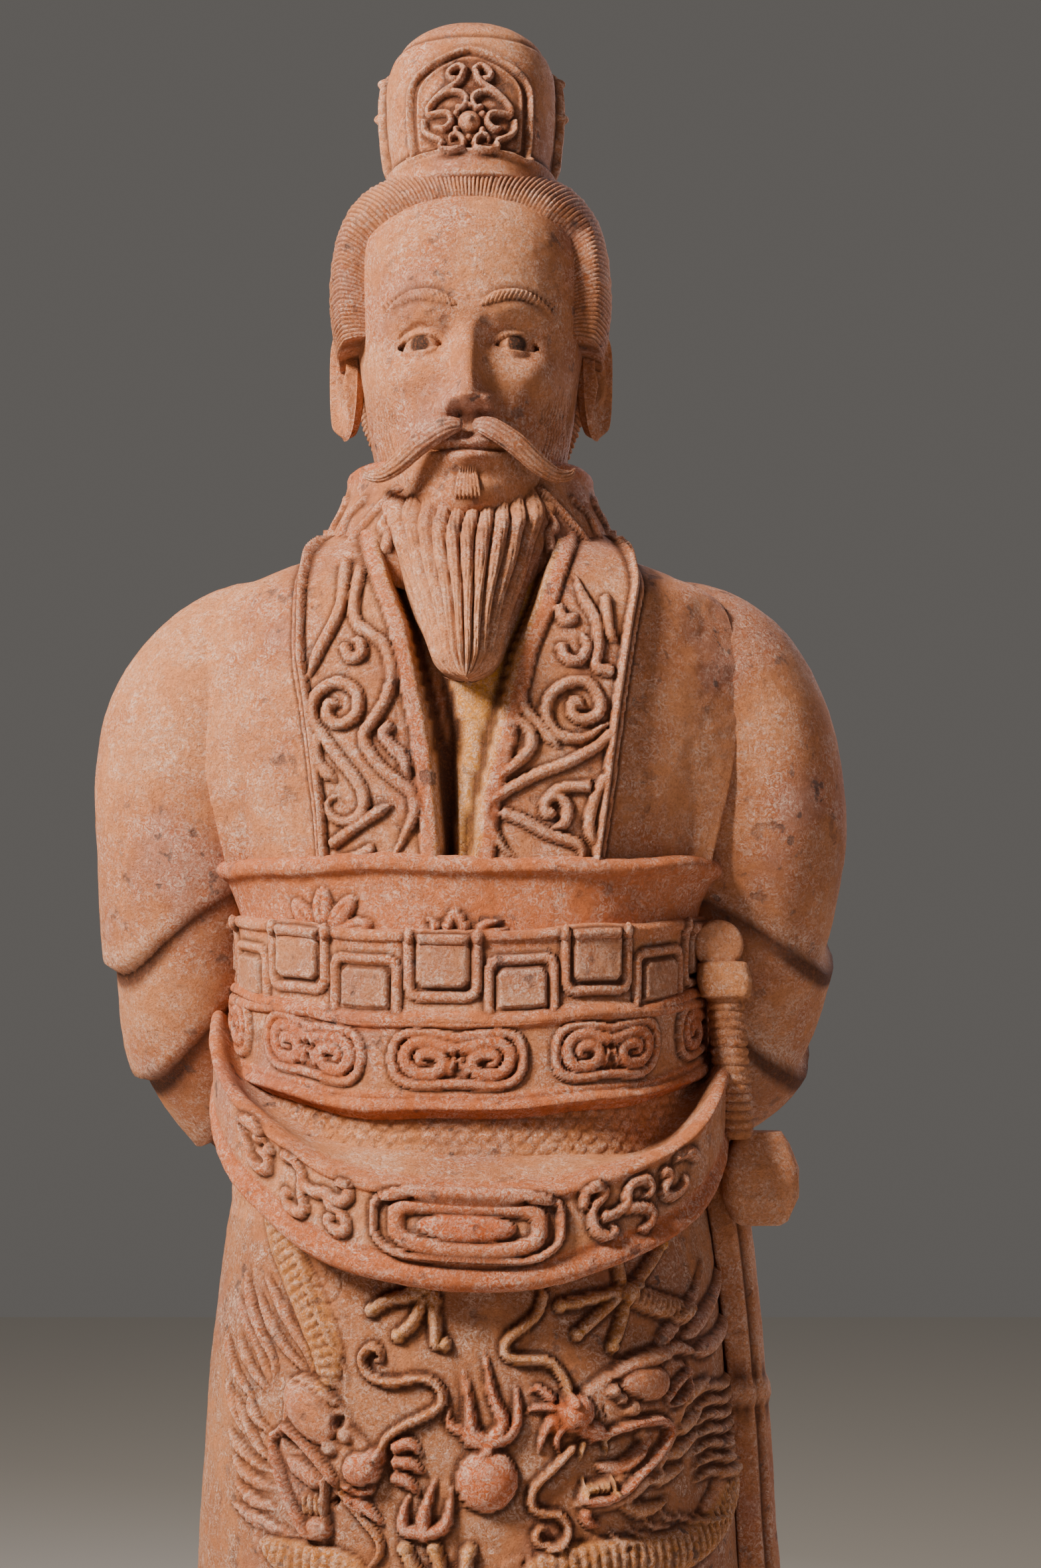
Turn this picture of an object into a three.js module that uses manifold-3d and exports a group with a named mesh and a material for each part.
// A life-size fired clay officer in court robe, standing with both hands behind the back.
// Millimetres, +Z up. The figure faces -Y, its left hand side is +X, the floor is z = 0.
import * as THREE from 'three';
import { mergeVertices } from 'three/addons/utils/BufferGeometryUtils.js';
import Module from 'manifold-3d';

const wasm = await Module();
wasm.setup();

// ---- driving dimensions ----

const HEIGHT = 1956;
const BASE = { width: 620, depth: 520, height: 60, corner: 46, bevel: 6 };
const GAP = 0.3;
const FLOOR = BASE.height + GAP;

// Robe sections from the hem up: height, half width, depth in front, depth behind, squareness.
const ROBE = [
  [FLOOR, 232, 206, 198, 2.3],
  [300, 216, 197, 186, 2.3],
  [600, 198, 189, 168, 2.3],
  [900, 184, 184, 150, 2.3],
  [1000, 178, 178, 142, 2.3],
  [1080, 170, 168, 134, 2.3],
  [1160, 158, 140, 124, 2.3],
  [1237, 154, 128, 118, 2.3],
  [1295, 156, 122, 116, 2.3],
  [1345, 168, 114, 118, 2.3],
  [1420, 184, 112, 124, 2.3],
  [1480, 186, 108, 124, 2.3],
  [1525, 176, 96, 114, 2.3],
  [1548, 148, 84, 102, 2.2],
  [1564, 112, 74, 92, 2.1],
  [1585, 84, 62, 80, 2],
  [1625, 64, 50, 66, 2],
];
const HEM_FOLDS = { count: 8, depth: 11, top: 820 };

// Head sections: height, half width, depth in front, depth behind, squareness.
const HEAD = [
  [1572, 36, 84, 30, 2],
  [1590, 56, 95, 58, 2.1],
  [1640, 70, 97, 84, 2.2],
  [1690, 78, 97, 96, 2.2],
  [1740, 85, 98, 102, 2.2],
  [1782, 84, 95, 98, 2.2],
  [1808, 76, 84, 88, 2.1],
  [1828, 58, 66, 66, 2],
  [1842, 24, 28, 28, 2],
];
const FACE = { chin: 1574, crown: 1826 };
const CAP = [
  [1796, 55, 73, 62, 2.2],
  [1840, 57, 70, 62, 2.2],
  [1880, 61, 66, 62, 2.2],
  [1915, 60, 62, 59, 2.2],
  [1936, 52, 54, 51, 2.1],
  [1949, 36, 38, 36, 2],
  [HEIGHT, 12, 12, 12, 2],
];

// Arm centre line of the figure's right arm, from shoulder to the clasped cuffs behind the back:
// place, then half size across and half size upright.
const ARM = [
  { at: [-96, 8, 1478], across: 58, upright: 66 },
  { at: [-134, 8, 1477], across: 66, upright: 73 },
  { at: [-162, 9, 1470], across: 72, upright: 76 },
  { at: [-182, 11, 1448], across: 74, upright: 78 },
  { at: [-191, 14, 1410], across: 74, upright: 80 },
  { at: [-193, 20, 1350], across: 71, upright: 78 },
  { at: [-191, 38, 1284], across: 67, upright: 75 },
  { at: [-178, 76, 1224], across: 64, upright: 75 },
  { at: [-138, 122, 1188], across: 56, upright: 76 },
  { at: [-82, 154, 1172], across: 46, upright: 68 },
  { at: [-26, 168, 1162], across: 38, upright: 57 },
  { at: [14, 170, 1156], across: 32, upright: 46 },
];

// Belts from the waist down: front height of the lower edge, and how far the front sags.
const SASH = { height: 1291, sag: 0 };
const MEANDER = { height: 1237, sag: 14 };
const CLOUDS = { height: 1175, sag: 26 };
const CRESCENT = { height: 1074, sag: 104, tilt: 26 };
// Their bands and rolls from the bottom up: belt, height over its lower edge, thickness.
const BELT_STACK = [
  [CLOUDS, -14, -6], [CLOUDS, -8, 15], [CLOUDS, 6, 11], [CLOUDS, 57, 12],
  [MEANDER, -3, 14], [MEANDER, 7, 9], [MEANDER, 54, 10],
  [SASH, 6, 4], [SASH, 40, 9], [SASH, 50, 15], [SASH, 58, -6],
];
const CRESCENT_BAND = [
  [CRESCENT, -4, -10], [CRESCENT, 0, 28], [CRESCENT, 13, 32], [CRESCENT, 54, 38], [CRESCENT, 50, -10],
];

const RELIEF = { sink: 3, fine: 5, bold: 8 };
const CAP_SPIKES = [[1884, 67], [1912, 70]];
const HAIR = { grooves: 12, depth: 3 };
const EAR = { x: 83, low: 1648, high: 1735, sizes: [[8, 10], [12, 14], [19, 16], [11, 11]] };
const BEARD = {
  flutes: 6,
  depth: 2.6,
  // height, half width, depth in front, depth behind
  levels: [[1459, 13, 151, 96], [1490, 28, 147, 70], [1522, 40, 135, 58], [1560, 54, 119, 48],
    [1606, 64, 97, 40]],
};
const LAPEL = {
  half: 34,
  height: 8,
  middle: [[54, 1346], [56, 1400], [62, 1450], [76, 1500], [90, 1540]],
};
const SLEEVE = { folds: 7, depth: 20 };
const PEARL = { x: 14, z: 956, radius: 20 };
const SHOE = [[50, 46], [40, 48], [36, 47], [28, 38]];
const SWORD = { x: 190, y: -52, pommel: 1292, guard: 1135, tip: 380 };

const CLAY = { colour: 0xc58f74, roughness: 0.92, metalness: 0 };

// ---- helpers ----

// A row of a table at a height between its stations, on a smooth curve through them.
function rowAt(table, height) {
  const last = table.length - 1;
  const z = Math.min(Math.max(height, table[0][0]), table[last][0]);
  let k = 0;
  while (k < last - 1 && z > table[k + 1][0]) k += 1;
  const [low, high] = [table[k], table[k + 1]];
  const span = high[0] - low[0];
  const t = (z - low[0]) / span;
  const before = table[Math.max(k - 1, 0)];
  const after = table[Math.min(k + 2, last)];
  return low.map((value, i) => {
    if (i === 0) return z;
    const m0 = (high[i] - before[i]) / (high[0] - before[0]) * span;
    const m1 = (after[i] - value) / (after[0] - low[0]) * span;
    const t2 = t * t;
    const t3 = t2 * t;
    return (2 * t3 - 3 * t2 + 1) * value + (t3 - 2 * t2 + t) * m0
      + (3 * t2 - 2 * t3) * high[i] + (t3 - t2) * m1;
  });
}

const power = (value, exponent) => Math.sign(value) * Math.abs(value) ** exponent;

const smooth = (low, high, value) => {
  const t = Math.min(Math.max((value - low) / (high - low), 0), 1);
  return t * t * (3 - 2 * t);
};

// A point of a sectioned form. The angle is 0 in front and grows towards +X.
function sectionPoint(table, angle, height, grow = 0) {
  const [, half, front, back, square] = rowAt(table, height);
  const c = Math.cos(angle);
  const depth = (c > 0 ? front : back) + grow;
  return new THREE.Vector3(
    (half + grow) * power(Math.sin(angle), 2 / square),
    -depth * power(c, 2 / square),
    height,
  );
}

// The folds of the skirt deepen towards the hem and die out above it.
function hemFold(angle, height) {
  const fade = 1 - smooth(FLOOR, HEM_FOLDS.top, height);
  return HEM_FOLDS.depth * fade * Math.cos(HEM_FOLDS.count * angle);
}

const robePoint = (angle, height, grow = 0) => (
  sectionPoint(ROBE, angle, height, grow + hemFold(angle, height))
);

// The robe's front seen square on: a place x, z on it, lifted off the surface.
function robeFront(x, z, lift) {
  const [, half, , , square] = rowAt(ROBE, z);
  const ratio = Math.min(Math.max(x / half, -0.995), 0.995);
  const angle = Math.asin(power(ratio, square / 2));
  return robePoint(angle, z, lift);
}

// A closed cylinder whose every point is moved to its place: along runs 0 to 1,
// across and out are on the unit circle, 0 at the middle of the end caps.
function warped(sides, steps, place) {
  const form = new THREE.CylinderGeometry(1, 1, 1, sides, steps);
  const spots = form.attributes.position;
  const spot = new THREE.Vector3();
  for (let i = 0; i < spots.count; i += 1) {
    spot.fromBufferAttribute(spots, i);
    spot.copy(place(spot.y + 0.5, spot.x, spot.z));
    spots.setXYZ(i, spot.x, spot.y, spot.z);
  }
  return form;
}

// A form built up from sections, round its upright axis.
function sectioned(sides, heights, pointAt) {
  const last = heights.length - 1;
  return warped(sides, last, (along, across, out) => {
    const height = heights[Math.round(along * last)];
    const middle = Math.hypot(across, out) < 0.5;
    const point = pointAt(Math.atan2(across, out), height);
    return middle ? new THREE.Vector3(0, 0, point.z) : point;
  });
}

const curve = (points) => new THREE.CatmullRomCurve3(
  points.map(([x, z]) => new THREE.Vector3(x, 0, z)), false, 'catmullrom', 0.5,
);

// A raised ridge with a sharp crest that follows a line drawn on a surface.
// The surface is a function of x, z and lift; the ridge tapers to its two ends.
function ridge(points, { width, height, steps, surface, taper = 0.5 }) {
  const line = curve(points);
  return warped(3, steps, (along, across, out) => {
    const at = line.getPoint(along);
    const tangent = line.getTangent(along);
    const full = 1 - taper * (2 * Math.abs(along - 0.5)) ** 3;
    const shift = across * width * full / 1.7;
    const lift = out > 0.1 ? height * full : (out < -0.1 ? -RELIEF.sink : 0);
    return surface(at.x - tangent.z * shift, at.z + tangent.x * shift, lift);
  });
}

// The points of a curl: out from its eye, turning by so many turns.
function curl([x, z], radius, start, turns, points = 9) {
  return Array.from({ length: points }, (_, i) => {
    const t = i / (points - 1);
    const angle = start + turns * 2 * Math.PI * t;
    const reach = radius * (0.22 + 0.78 * t);
    return [x + reach * Math.cos(angle), z + reach * Math.sin(angle)];
  });
}

// A rounded lump laid on the surface: a low dome over an oval.
function boss([x, z], [halfX, halfZ], height, surface, sides = 8) {
  const rings = [[1, -RELIEF.sink], [0.9, 0.62 * height], [0.4, height]];
  return warped(sides, 2, (along, across, out) => {
    const [reach, lift] = rings[Math.round(along * 2)];
    return surface(x + across * halfX * reach, z + out * halfZ * reach, lift);
  });
}

// A flat band laid along a line on the surface; the lifts of its top run from edge to edge.
function band(points, { half, lifts, steps, surface }) {
  const line = curve(points);
  const last = lifts.length - 1;
  const form = new THREE.BoxGeometry(2, 1, 1, last, 1, steps);
  const spots = form.attributes.position;
  for (let i = 0; i < spots.count; i += 1) {
    const at = line.getPoint(spots.getZ(i) + 0.5);
    const tangent = line.getTangent(spots.getZ(i) + 0.5);
    const shift = spots.getX(i) * half;
    const column = Math.round((spots.getX(i) + 1) / 2 * last);
    const lift = spots.getY(i) > 0 ? lifts[column] : -RELIEF.sink;
    const point = surface(at.x - tangent.z * shift, at.z + tangent.x * shift, lift);
    spots.setXYZ(i, point.x, point.y, point.z);
  }
  return form;
}

// A raised oblong with its sides square to the surface.
const plate = ([x, z], [halfX, halfZ], height, surface, steps = 2) => band(
  [[x - halfX, z], [x + halfX, z]], { half: halfZ, lifts: [height, height], steps, surface },
);

// A closed mesh as a solid, its triangles turned so that they face outwards.
function solid(form) {
  const bare = form.clone();
  bare.deleteAttribute('normal');
  bare.deleteAttribute('uv');
  const merged = mergeVertices(bare, 1e-3);
  const spots = merged.attributes.position;
  const index = Uint32Array.from(merged.index.array);
  const [a, b, c] = [new THREE.Vector3(), new THREE.Vector3(), new THREE.Vector3()];
  let volume = 0;
  for (let i = 0; i < index.length; i += 3) {
    a.fromBufferAttribute(spots, index[i]);
    b.fromBufferAttribute(spots, index[i + 1]);
    c.fromBufferAttribute(spots, index[i + 2]);
    volume += a.dot(b.cross(c));
  }
  if (volume < 0) {
    for (let i = 0; i < index.length; i += 3) {
      [index[i], index[i + 1]] = [index[i + 1], index[i]];
    }
  }
  return new wasm.Manifold(new wasm.Mesh({
    numProp: 3, vertProperties: Float32Array.from(spots.array), triVerts: index,
  }));
}

const joined = (forms) => forms.map(solid).reduce((whole, next) => whole.add(next));

function named(name, manifold, { colour, roughness, metalness }) {
  const { vertProperties, triVerts } = manifold.getMesh();
  const geometry = new THREE.BufferGeometry();
  geometry.setAttribute('position', new THREE.BufferAttribute(vertProperties, 3));
  geometry.setIndex(new THREE.BufferAttribute(triVerts, 1));
  geometry.computeVertexNormals();
  const material = new THREE.MeshStandardMaterial({ color: colour, roughness, metalness });
  const mesh = new THREE.Mesh(geometry, material);
  mesh.name = name;
  return mesh;
}

// ---- robe, arms, head ----

function robe() {
  const levels = [FLOOR, 160, 330, 530, 720, 880, 1000, 1100, 1237, 1345, 1430, 1485, 1528, 1550, 1566, 1600];
  return sectioned(32, levels, robePoint);
}

// Sleeve folds: steps that overlap down the arm like stacked cuffs, deepest round the elbow.
function sleeveFold(along) {
  const ramp = smooth(0.28, 0.42, along) * (1 - smooth(0.86, 0.98, along));
  const saw = (along * SLEEVE.folds) % 1;
  return SLEEVE.depth * ramp * (saw - 0.3);
}

function arm(side) {
  const line = new THREE.CatmullRomCurve3(ARM.map(({ at }) => new THREE.Vector3(...at)));
  const sizes = ARM.map(({ across, upright }, i) => [i / (ARM.length - 1), across, upright]);
  const outwards = new THREE.Vector3(-0.8, 0.6, 0);
  return warped(12, SLEEVE.folds * 2, (along, across, out) => {
    const at = line.getPoint(along);
    const tangent = line.getTangent(along);
    const sideways = outwards.clone().addScaledVector(tangent, -outwards.dot(tangent)).normalize();
    const upright = tangent.clone().cross(sideways);
    const [, half, tall] = rowAt(sizes, along);
    const fold = Math.hypot(across, out) < 0.5 ? 0 : sleeveFold(along);
    at.addScaledVector(sideways, across * (half + fold));
    at.addScaledVector(upright, out * (tall + fold));
    at.x *= side;
    return at;
  });
}

// The head seen square on, like the robe's front.
function headFront(x, z, lift) {
  const [, half, , , square] = rowAt(HEAD, z);
  const ratio = Math.min(Math.max(x / half, -0.99), 0.99);
  return sectionPoint(HEAD, Math.asin(power(ratio, square / 2)), z, lift);
}

// The face follows plain rules of proportion: eyes half way between chin and crown, the nose
// ends half way from brow to chin, the mouth a third of the way on, five eyes across.
function face() {
  const tall = FACE.crown - FACE.chin;
  const eyes = FACE.chin + tall / 2;
  const brow = eyes + tall * 0.09;
  const nose = FACE.chin + (brow - FACE.chin) / 2;
  const mouth = nose - (nose - FACE.chin) / 3;
  const eye = tall / 15;
  const surface = headFront;
  const parts = [
    ridge([[0, brow - 4], [0, eyes - 8], [0, nose + 2]], { width: 15, height: 15, steps: 3, surface, taper: 0 }),
    boss([0, nose + 4], [15, 10], 17, surface, 6),
    boss([0, mouth], [20, 8], 7, surface, 6),
  ];
  [-1, 1].forEach((side) => {
    const at = (x, z) => [side * x, z];
    parts.push(ridge([at(10, brow - 3), at(32, brow + 4), at(58, brow - 5)],
      { width: 9, height: 5, steps: 3, surface }));
    parts.push(boss(at(eye * 2, eyes), [eye * 0.95, eye * 0.42], 4, surface, 6));
    parts.push(ridge([at(4, nose - 5), at(22, mouth + 4), at(42, mouth - 18), at(60, mouth - 20)],
      { width: 13, height: 10, steps: 5, surface, taper: 0.9 }));
  });
  return parts;
}

// The skull with its combed hair: grooves run back from the forehead under the cap.
function head() {
  const levels = [1572, 1590, 1640, 1690, 1740, 1770, 1800, 1824, 1842];
  const neck = [[1500, 68, 60, 62, 2], [1700, 62, 56, 66, 2]];
  const combed = (angle, z) => {
    const groove = HAIR.depth * smooth(1745, 1790, z) * Math.cos(angle * HAIR.grooves);
    return sectionPoint(HEAD, angle, z, groove);
  };
  return [
    sectioned(HAIR.grooves * 2, levels, combed),
    sectioned(16, [1560, 1640], (angle, z) => sectionPoint(neck, angle, z)),
    ...face(), ear(-1), ear(1),
  ];
}

// An ear reaches from the brow to the end of the nose, full above and narrow at the lobe.
function ear(side) {
  return warped(6, 3, (along, across, out) => {
    const [wide, thick] = EAR.sizes[Math.round(along * 3)];
    const z = EAR.low + (EAR.high - EAR.low) * along;
    return new THREE.Vector3(side * (EAR.x + out * thick), 4 + 6 * along + across * wide, z);
  });
}

// The goatee: a wedge of upright flutes from the jaw to a blunt tip, standing off the chest.
function beard() {
  const last = BEARD.levels.length - 1;
  return warped(BEARD.flutes * 4, last, (along, across, out) => {
    const [z, half, front, back] = BEARD.levels[Math.round(along * last)];
    if (Math.hypot(across, out) < 0.5) return new THREE.Vector3(0, -(front + back) / 2, z);
    const angle = Math.atan2(across, out);
    const flute = out > 0 ? BEARD.depth * Math.cos(angle * BEARD.flutes * 2) : 0;
    const y = -back - (front - back) * Math.max(out, 0) ** 0.8;
    return new THREE.Vector3(half * across, y - flute, z);
  });
}

// ---- cap ----

const capPoint = (angle, height, grow = 0) => sectionPoint(CAP, angle, height, grow);

function capFront(x, z, lift) {
  const [, half, , , square] = rowAt(CAP, z);
  const ratio = Math.min(Math.max(x / half, -0.97), 0.97);
  return capPoint(Math.asin(power(ratio, square / 2)), z, lift);
}

// The front panel is a gabled frame round a flower of four curls and a boss.
function cap() {
  const heights = [1800, 1840, 1880, 1915, 1936, 1949, HEIGHT];
  const gable = [[-41, 1850], [-42, 1892], [-22, 1914], [0, 1928], [22, 1914], [42, 1892], [41, 1850]];
  const frame = { width: 8, height: 5, surface: capFront, taper: 0 };
  const parts = [
    sectioned(18, heights, capPoint),
    ridge(gable, { ...frame, steps: 7 }),
    ridge([[-41, 1848], [0, 1851], [41, 1848]], { ...frame, steps: 2 }),
    boss([0, 1880], [8, 8], 7, capFront, 6),
  ];
  [-1, 1].forEach((side) => {
    [[12, 1895, 11], [13, 1868, 10]].forEach(([x, z, radius], i) => {
      const start = side > 0 ? -Math.PI * (0.1 + 0.4 * i) : Math.PI * (1.1 + 0.4 * i);
      parts.push(ridge(curl([side * x, z], radius, start, side * 0.9), {
        width: 7, height: 5, steps: 4, surface: capFront,
      }));
    });
    CAP_SPIKES.forEach(([z, reach]) => {
      parts.push(warped(4, 1, (along, across, out) => {
        const slim = 8 * (1.12 - along);
        return new THREE.Vector3(side * (50 + (reach - 50) * along), out * slim, z + across * slim + 6 * along);
      }));
    });
  });
  return parts;
}

// ---- lapels and belts ----

// Wide lapels frame a slot down the middle of the chest; they have rolled edges and curls.
function lapel(side) {
  const at = (points) => points.map(([x, z]) => [side * x, z]);
  const surface = (x, z, lift) => robeFront(x, z, lift + LAPEL.height - RELIEF.sink / 3);
  const lifts = [LAPEL.height + 6, LAPEL.height, LAPEL.height, LAPEL.height + 7];
  const turn = (start) => (side > 0 ? start : Math.PI - start);
  const curls = [
    curl([side * 72, 1440], 19, turn(2.2), -side * 1.25),
    curl([side * 64, 1378], 12, turn(2.2), side * 1.1),
  ];
  const lines = [[[52, 1424], [42, 1398], [46, 1372], [62, 1350]], [[70, 1500], [62, 1484], [74, 1470]]];
  return [
    band(at(LAPEL.middle), { half: LAPEL.half, lifts, steps: 5, surface: robeFront }),
    ...curls.map((points) => ridge(points, { width: 8, height: RELIEF.fine, steps: 6, surface })),
    ...lines.map((points) => ridge(at(points), { width: 8, height: RELIEF.fine, steps: 3, surface })),
  ];
}

// The collar stands up round the neck, high behind the jaw, and runs down into the lapels.
function collar() {
  const rows = [[1540, 124, 96, 104], [1572, 112, 84, 96], [1604, 92, 62, 84], [1626, 86, 54, 80]];
  return warped(18, rows.length - 1, (along, across, out) => {
    const [z, half, front, back] = rows[Math.round(along * (rows.length - 1))];
    const angle = Math.atan2(across, out);
    const opening = smooth(0.55, 1.25, Math.abs(angle));
    const height = 1526 + (z - 1526) * opening;
    if (Math.hypot(across, out) < 0.5) return new THREE.Vector3(0, 0, height);
    return new THREE.Vector3(half * across, -(out > 0 ? front : back) * out, height);
  });
}

// How far a belt has risen at an angle from the front, where it hangs lowest. A tilted belt
// is lower at the left hip.
function rise({ sag, tilt = 0 }, angle) {
  return sag * (1 - Math.max(Math.cos(angle), 0) ** 1.5) - tilt * Math.sin(angle);
}

function beltPoint(belt, angle, up, lift) {
  const height = belt.height + up + rise(belt, angle);
  const point = sectionPoint(ROBE, angle, belt.height + up + 0.55 * rise(belt, angle), lift);
  point.z = height;
  return point;
}

// A stack of bands and rolls, closed through the body.
function belts(stack, sides) {
  const last = stack.length - 1;
  return warped(sides, last, (along, across, out) => {
    const [belt, up, lift] = stack[Math.round(along * last)];
    if (Math.hypot(across, out) < 0.5) return new THREE.Vector3(0, 0, belt.height + up + belt.sag / 2);
    return beltPoint(belt, Math.atan2(across, out), up, lift);
  });
}

// A line on a belt: x is measured round the belt from the front, z up from its lower edge.
const beltSurface = (belt, radius, thick) => (x, z, lift) => beltPoint(belt, x / radius, z, thick + lift);

// Hanging squares take turns with rising ones round the belt.
function meander() {
  const surface = beltSurface(MEANDER, 160, 9);
  const [pitch, low, high] = [103, 11, 50];
  return [-3, -2, -1, 0, 1, 2].map((k) => {
    const middle = k % 2 ? low + 16 : high - 16;
    return plate([k * pitch / 2, middle], [15, 16], RELIEF.fine, surface, 1);
  });
}

// Cloud-headed panels side by side.
function clouds() {
  const surface = beltSurface(CLOUDS, 160, 10);
  return [-2, -1, 0, 1, 2].map((k) => boss([k * 92, 32], [39, 19], RELIEF.fine, surface, 6));
}

// The framed buckle and the curls on the crescent belt.
function crescentRelief() {
  const surface = beltSurface(CRESCENT, 196, 33);
  const frames = [[[61, 22], 5], [[34, 10], 10]];
  const parts = frames.map(([size, lift]) => plate([0, 29], size, lift, surface, 2));
  [-1, 1].forEach((side) => {
    [84, 112, 140].forEach((x, i) => {
      const z = i % 2 ? 38 : 22;
      parts.push(ridge(curl([side * x, z], 12, i, side * (i % 2 ? 1.1 : -1.1)), {
        width: 8, height: 6, steps: 4, surface,
      }));
    });
  });
  return parts;
}

// Half a flower, a bud and a leaf on the waist sash.
function sashRelief() {
  const surface = beltSurface(SASH, 168, 5);
  const petals = [-2, -1, 0, 1, 2].map((k) => (
    boss([-92 + k * 14, 16 + 4 * Math.abs(k)], [6.5, 13 - 2 * Math.abs(k)], 5, surface, 5)));
  return [...petals, boss([-6, 16], [10, 8], 5, surface, 5), boss([20, 14], [12, 5], 4, surface, 5)];
}

// ---- skirt relief: two dragons with a pearl between them ----

function dragon(side) {
  const shift = side > 0 ? 12 : 0;
  const at = (points) => points.map(([x, z]) => [side * (x + shift / 2), z + shift]);
  const surface = robeFront;
  const stroke = (points, width = 14, steps = 2) => ridge(at(points), {
    width, height: RELIEF.bold, steps, surface, taper: 0.75,
  });
  const toes = [-1, 0, 1].map((toe) => stroke([[88 + toe * 6, 1022],
    [84 + toe * 28, 1056 - 10 * Math.abs(toe)]], 13, 1));
  return [
    // scaled body, rising behind the head and coming back under it
    ridge(at([[150, 1052], [132, 1020], [110, 984]]), { width: 42, height: 11, steps: 2, surface }),
    ridge(at([[60, 868], [92, 852], [126, 862], [150, 886]]), { width: 36, height: 10, steps: 3, surface }),
    // brow and snout
    boss(...at([[96, 988]]), [20, 16], 15, surface, 6),
    boss(...at([[68, 972]]), [18, 12], 13, surface, 6),
    // jaws
    stroke([[50, 970], [62, 950], [84, 943], [108, 948]], 16, 3),
    stroke([[58, 910], [76, 899], [100, 912], [116, 938]], 16, 3),
    // horn, cheek fins and mane
    stroke([[102, 1002], [120, 1024], [150, 1062]], 15),
    stroke([[116, 986], [136, 996], [160, 1016]]),
    stroke([[118, 932], [140, 918], [162, 920]]),
    // whisker
    stroke([[56, 982], [42, 990], [38, 1004], [50, 1016], [66, 1026], [56, 1044]], 12, 5),
    ...toes,
  ];
}

function skirtRelief() {
  const flames = [-1, 0, 1].map((tongue) => [[PEARL.x + tongue * 24, PEARL.z + 66 - 12 * Math.abs(tongue)],
    [PEARL.x + tongue * 13, PEARL.z + 46], [PEARL.x + tongue * 4, PEARL.z + 28]]);
  return [
    boss([PEARL.x, PEARL.z], [PEARL.radius, PEARL.radius], 13, robeFront, 8),
    ...flames.map((points) => ridge(points, {
      width: 12, height: RELIEF.bold, steps: 2, surface: robeFront, taper: 0.8,
    })),
    ...dragon(-1), ...dragon(1),
  ];
}

// ---- sword, shoes, base ----

// A sword hangs at the left hip: pommel, wrapped grip, block guard and a long scabbard.
function sword() {
  const { x, y, pommel, guard, tip } = SWORD;
  const lean = (pommel - guard) * 0.05;
  const hiltX = (z) => x - 4 - lean * ((z - guard) / (pommel - guard));
  const grip = warped(8, 10, (along, across, out) => {
    const z = guard + 20 + (pommel - guard - 34) * along;
    const ring = 12 + (Math.round(along * 10) % 2 ? 2.4 : 0);
    return new THREE.Vector3(hiltX(z) + ring * across, y + ring * out, z);
  });
  const block = (centre, [halfX, halfY, halfZ]) => {
    const form = new THREE.BoxGeometry(halfX * 2, halfY * 2, halfZ * 2, 1, 1, 1);
    return form.translate(...centre);
  };
  const disc = new THREE.CylinderGeometry(17, 17, 12, 10).rotateX(Math.PI / 2)
    .translate(hiltX(pommel) - 2, y - 6, pommel + 2);
  const scabbard = warped(8, 4, (along, across, out) => {
    const z = tip + (guard - tip) * along;
    const [, half] = rowAt(ROBE, z);
    const wide = 24 + 6 * along - (along < 0.06 ? 8 : 0);
    return new THREE.Vector3(half + 2 + 16 * across, -6 + wide * out, z);
  });
  const cross = warped(10, 3, (along, across, out) => {
    const swell = [16, 27, 25, 15][Math.round(along * 3)];
    return new THREE.Vector3(x + 10 + swell * across, y + 8 + swell * out, guard - 40 + 66 * along);
  });
  return [grip, disc, scabbard,
    block([hiltX(pommel - 22), y, pommel - 22], [18, 18, 13]), cross];
}

// Square-toed shoes look out under the hem.
function shoe(side) {
  return warped(10, 3, (along, across, out) => {
    const y = -150 - 92 * along;
    const [tall, wide] = SHOE[Math.round(along * 3)];
    const round = (value) => power(value, 0.55);
    return new THREE.Vector3(side * 92 + wide * round(across), y, FLOOR + tall / 2 + (tall / 2) * round(out));
  });
}

function base() {
  const { width, depth, height, corner, bevel } = BASE;
  const outline = new THREE.Shape();
  const [x, y] = [width / 2 - bevel, depth / 2 - bevel];
  outline.moveTo(-x + corner, -y);
  outline.lineTo(x - corner, -y);
  outline.absarc(x - corner, -y + corner, corner, -Math.PI / 2, 0);
  outline.absarc(x - corner, y - corner, corner, 0, Math.PI / 2);
  outline.absarc(-x + corner, y - corner, corner, Math.PI / 2, Math.PI);
  outline.absarc(-x + corner, -y + corner, corner, Math.PI, 1.5 * Math.PI);
  outline.closePath();
  return new THREE.ExtrudeGeometry(outline, {
    depth: height - 2 * bevel, bevelEnabled: true, bevelThickness: bevel, bevelSize: bevel,
    bevelSegments: 1, curveSegments: 3,
  }).translate(0, 0, bevel);
}

const figure = joined([
  robe(), arm(-1), arm(1), ...head(), beard(), ...cap(),
  ...lapel(-1), ...lapel(1), collar(), belts(BELT_STACK, 22), belts(CRESCENT_BAND, 26),
  ...sashRelief(), ...meander(), ...clouds(), ...crescentRelief(),
  ...skirtRelief(), ...sword(), shoe(-1), shoe(1),
]);

const statue = new THREE.Group();
statue.add(named('figure', figure, CLAY));
statue.add(named('base', solid(base()), CLAY));

export default statue;
